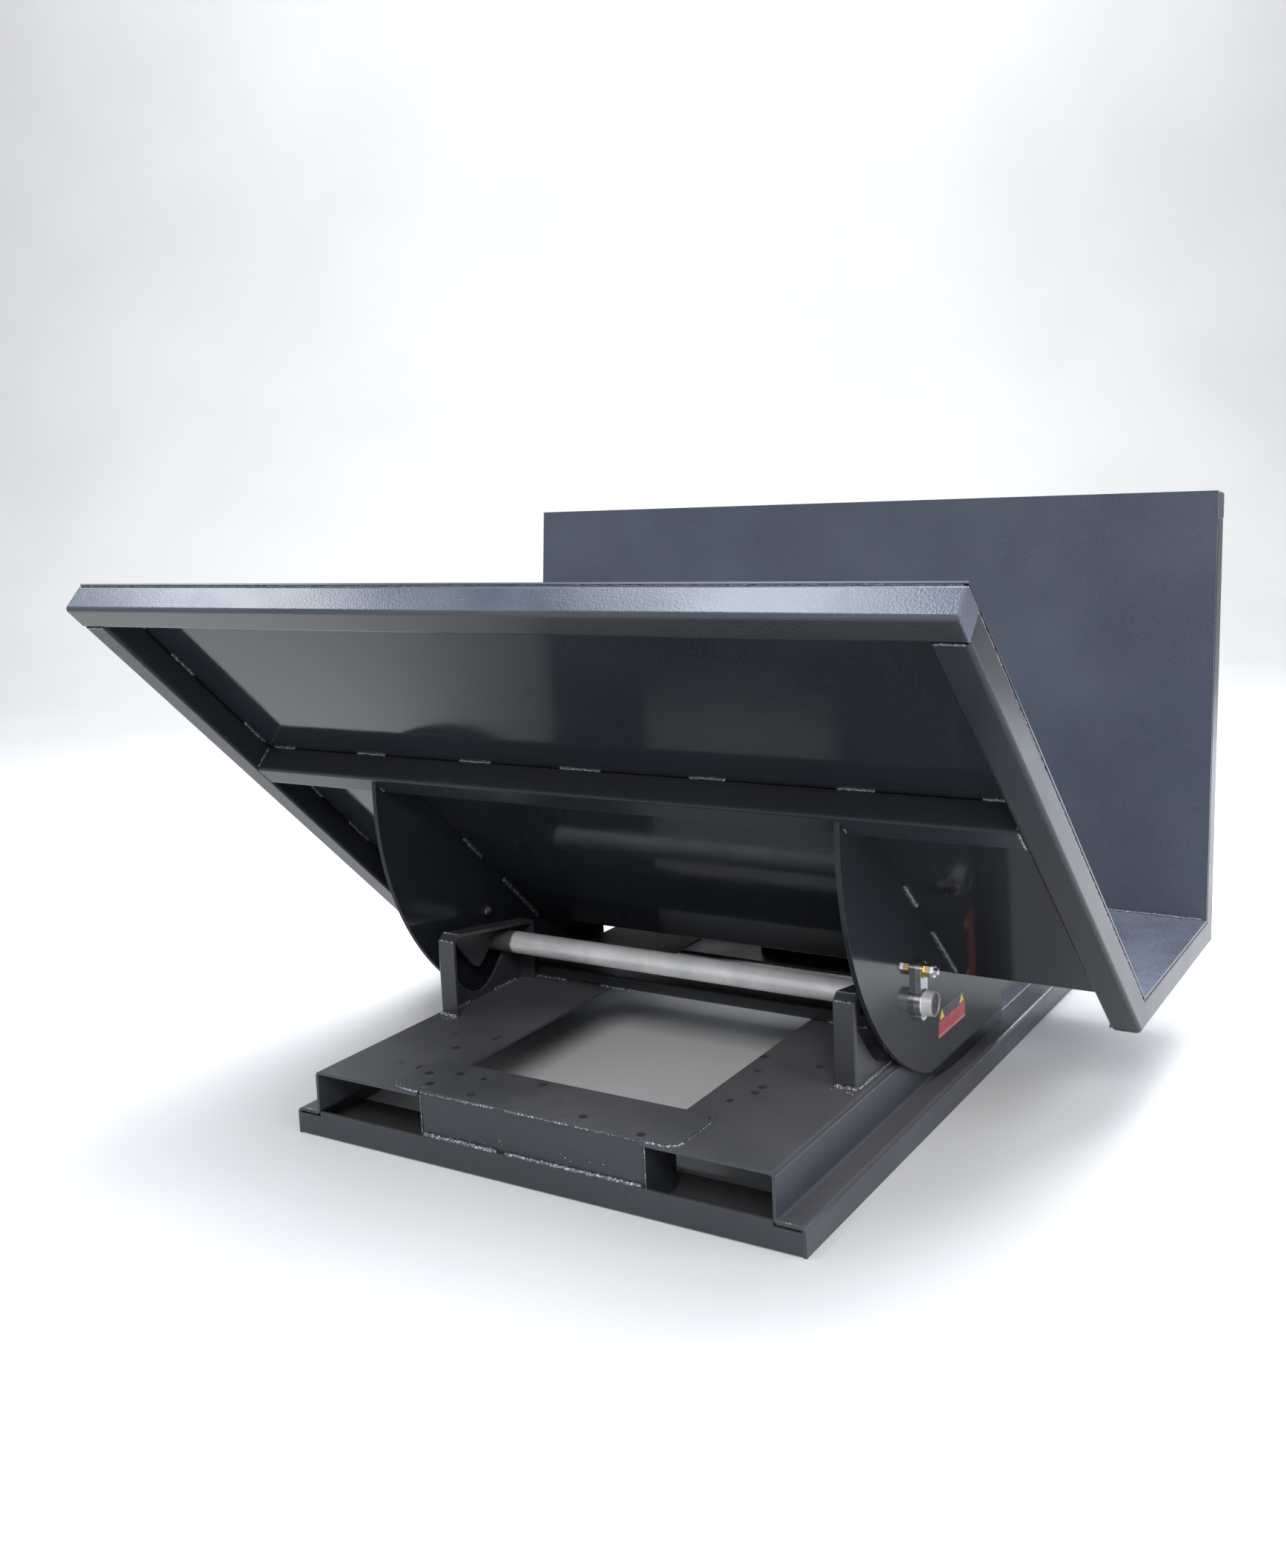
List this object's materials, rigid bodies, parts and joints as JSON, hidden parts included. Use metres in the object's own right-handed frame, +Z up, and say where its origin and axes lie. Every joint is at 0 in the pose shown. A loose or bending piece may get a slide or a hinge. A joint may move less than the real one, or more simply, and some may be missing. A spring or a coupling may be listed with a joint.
{
  "type": "self-dumping rocker hopper",
  "caption": "Open-ended steel tray on a square-tube frame whose two rocker plates roll forward on a fork-pocket base to tip the load out.",
  "frame": {"origin": "on the floor under the middle of the whole object's bounding box", "axes": "+X across to the right as seen from the low open front, +Y towards the back wall, +Z up"},
  "size_m": [1.5448, 1.4522, 1.0179],
  "materials": {
    "gloss_paint": "gloss charcoal grey enamel",
    "plated_bar": "satin drawn steel",
    "yellow_zinc": "yellow passivated zinc",
    "bolt_steel": "bright zinc",
    "black_plug": "matt black",
    "grip_rubber": "matt black rubber",
    "sticker": "printed vinyl, no lettering"
  },
  "bodies": {
    "base": {"base_side_channel_left": "gloss_paint", "base_side_channel_right": "gloss_paint", "deck_cross_tube": "gloss_paint", "front_bridge_channel": "gloss_paint", "front_bridge_plate": "gloss_paint", "front_lip": "gloss_paint", "keeper_ears": "gloss_paint", "keeper_pin": "bolt_steel", "rear_bridge_channel": "gloss_paint", "rear_bridge_plate": "gloss_paint", "rear_lip": "gloss_paint", "stanchion_left": "gloss_paint", "stanchion_right": "gloss_paint"},
    "roll_contact": {"roll_followers": "gloss_paint"},
    "tray": {"apron_floor_sheet": "gloss_paint", "apron_rib_tube": "gloss_paint", "apron_side_tube_left": "gloss_paint", "apron_side_tube_right": "gloss_paint", "apron_top_tube": "gloss_paint", "apron_tube_end_caps": "gloss_paint", "back_rib_tubes": "gloss_paint", "back_sheet": "gloss_paint", "back_side_tube_left": "gloss_paint", "back_side_tube_right": "gloss_paint", "back_top_tube": "gloss_paint", "back_tube_end_caps": "gloss_paint", "back_upright_caps": "gloss_paint", "back_uprights": "gloss_paint", "bar_lug_left": "plated_bar", "bar_lug_right": "plated_bar", "floor_rear_tube": "gloss_paint", "floor_side_tube_left": "gloss_paint", "floor_side_tube_right": "gloss_paint", "latch_ears": "gloss_paint", "latch_pin_collar": "bolt_steel", "latch_pivot_pin": "bolt_steel", "lug_bolts": "bolt_steel", "lug_lock_nuts": "bolt_steel", "lug_nuts": "yellow_zinc", "lug_washers": "yellow_zinc", "pivot_bar": "plated_bar", "pivot_bar_end_plugs": "black_plug", "rocker_plate_left": "gloss_paint", "rocker_plate_right": "gloss_paint", "rocker_stickers": "sticker"},
    "latch": {"latch_hook": "gloss_paint", "latch_lever": "gloss_paint", "latch_grip": "grip_rubber"}
  },
  "joints": [
    {"name": "tray_travel", "type": "slide", "parent": "base", "child": "roll_contact", "axis": [0, -1, 0], "range_m": [0, 0.56093]},
    {"name": "tray_roll", "type": "hinge", "parent": "roll_contact", "child": "tray", "pos_m": [0, 0.12511, 0.539], "axis": [1, 0, 0], "range_deg": [0, 65]},
    {"name": "latch_swing", "type": "hinge", "parent": "tray", "child": "latch", "pos_m": [0, 0.61411, 0.232], "axis": [1, 0, 0], "range_deg": [0, 22]}
  ],
  "couplings": [
    {"joint": "tray_travel", "follows": "tray_roll", "m_per_rad": 0.494}
  ]
}
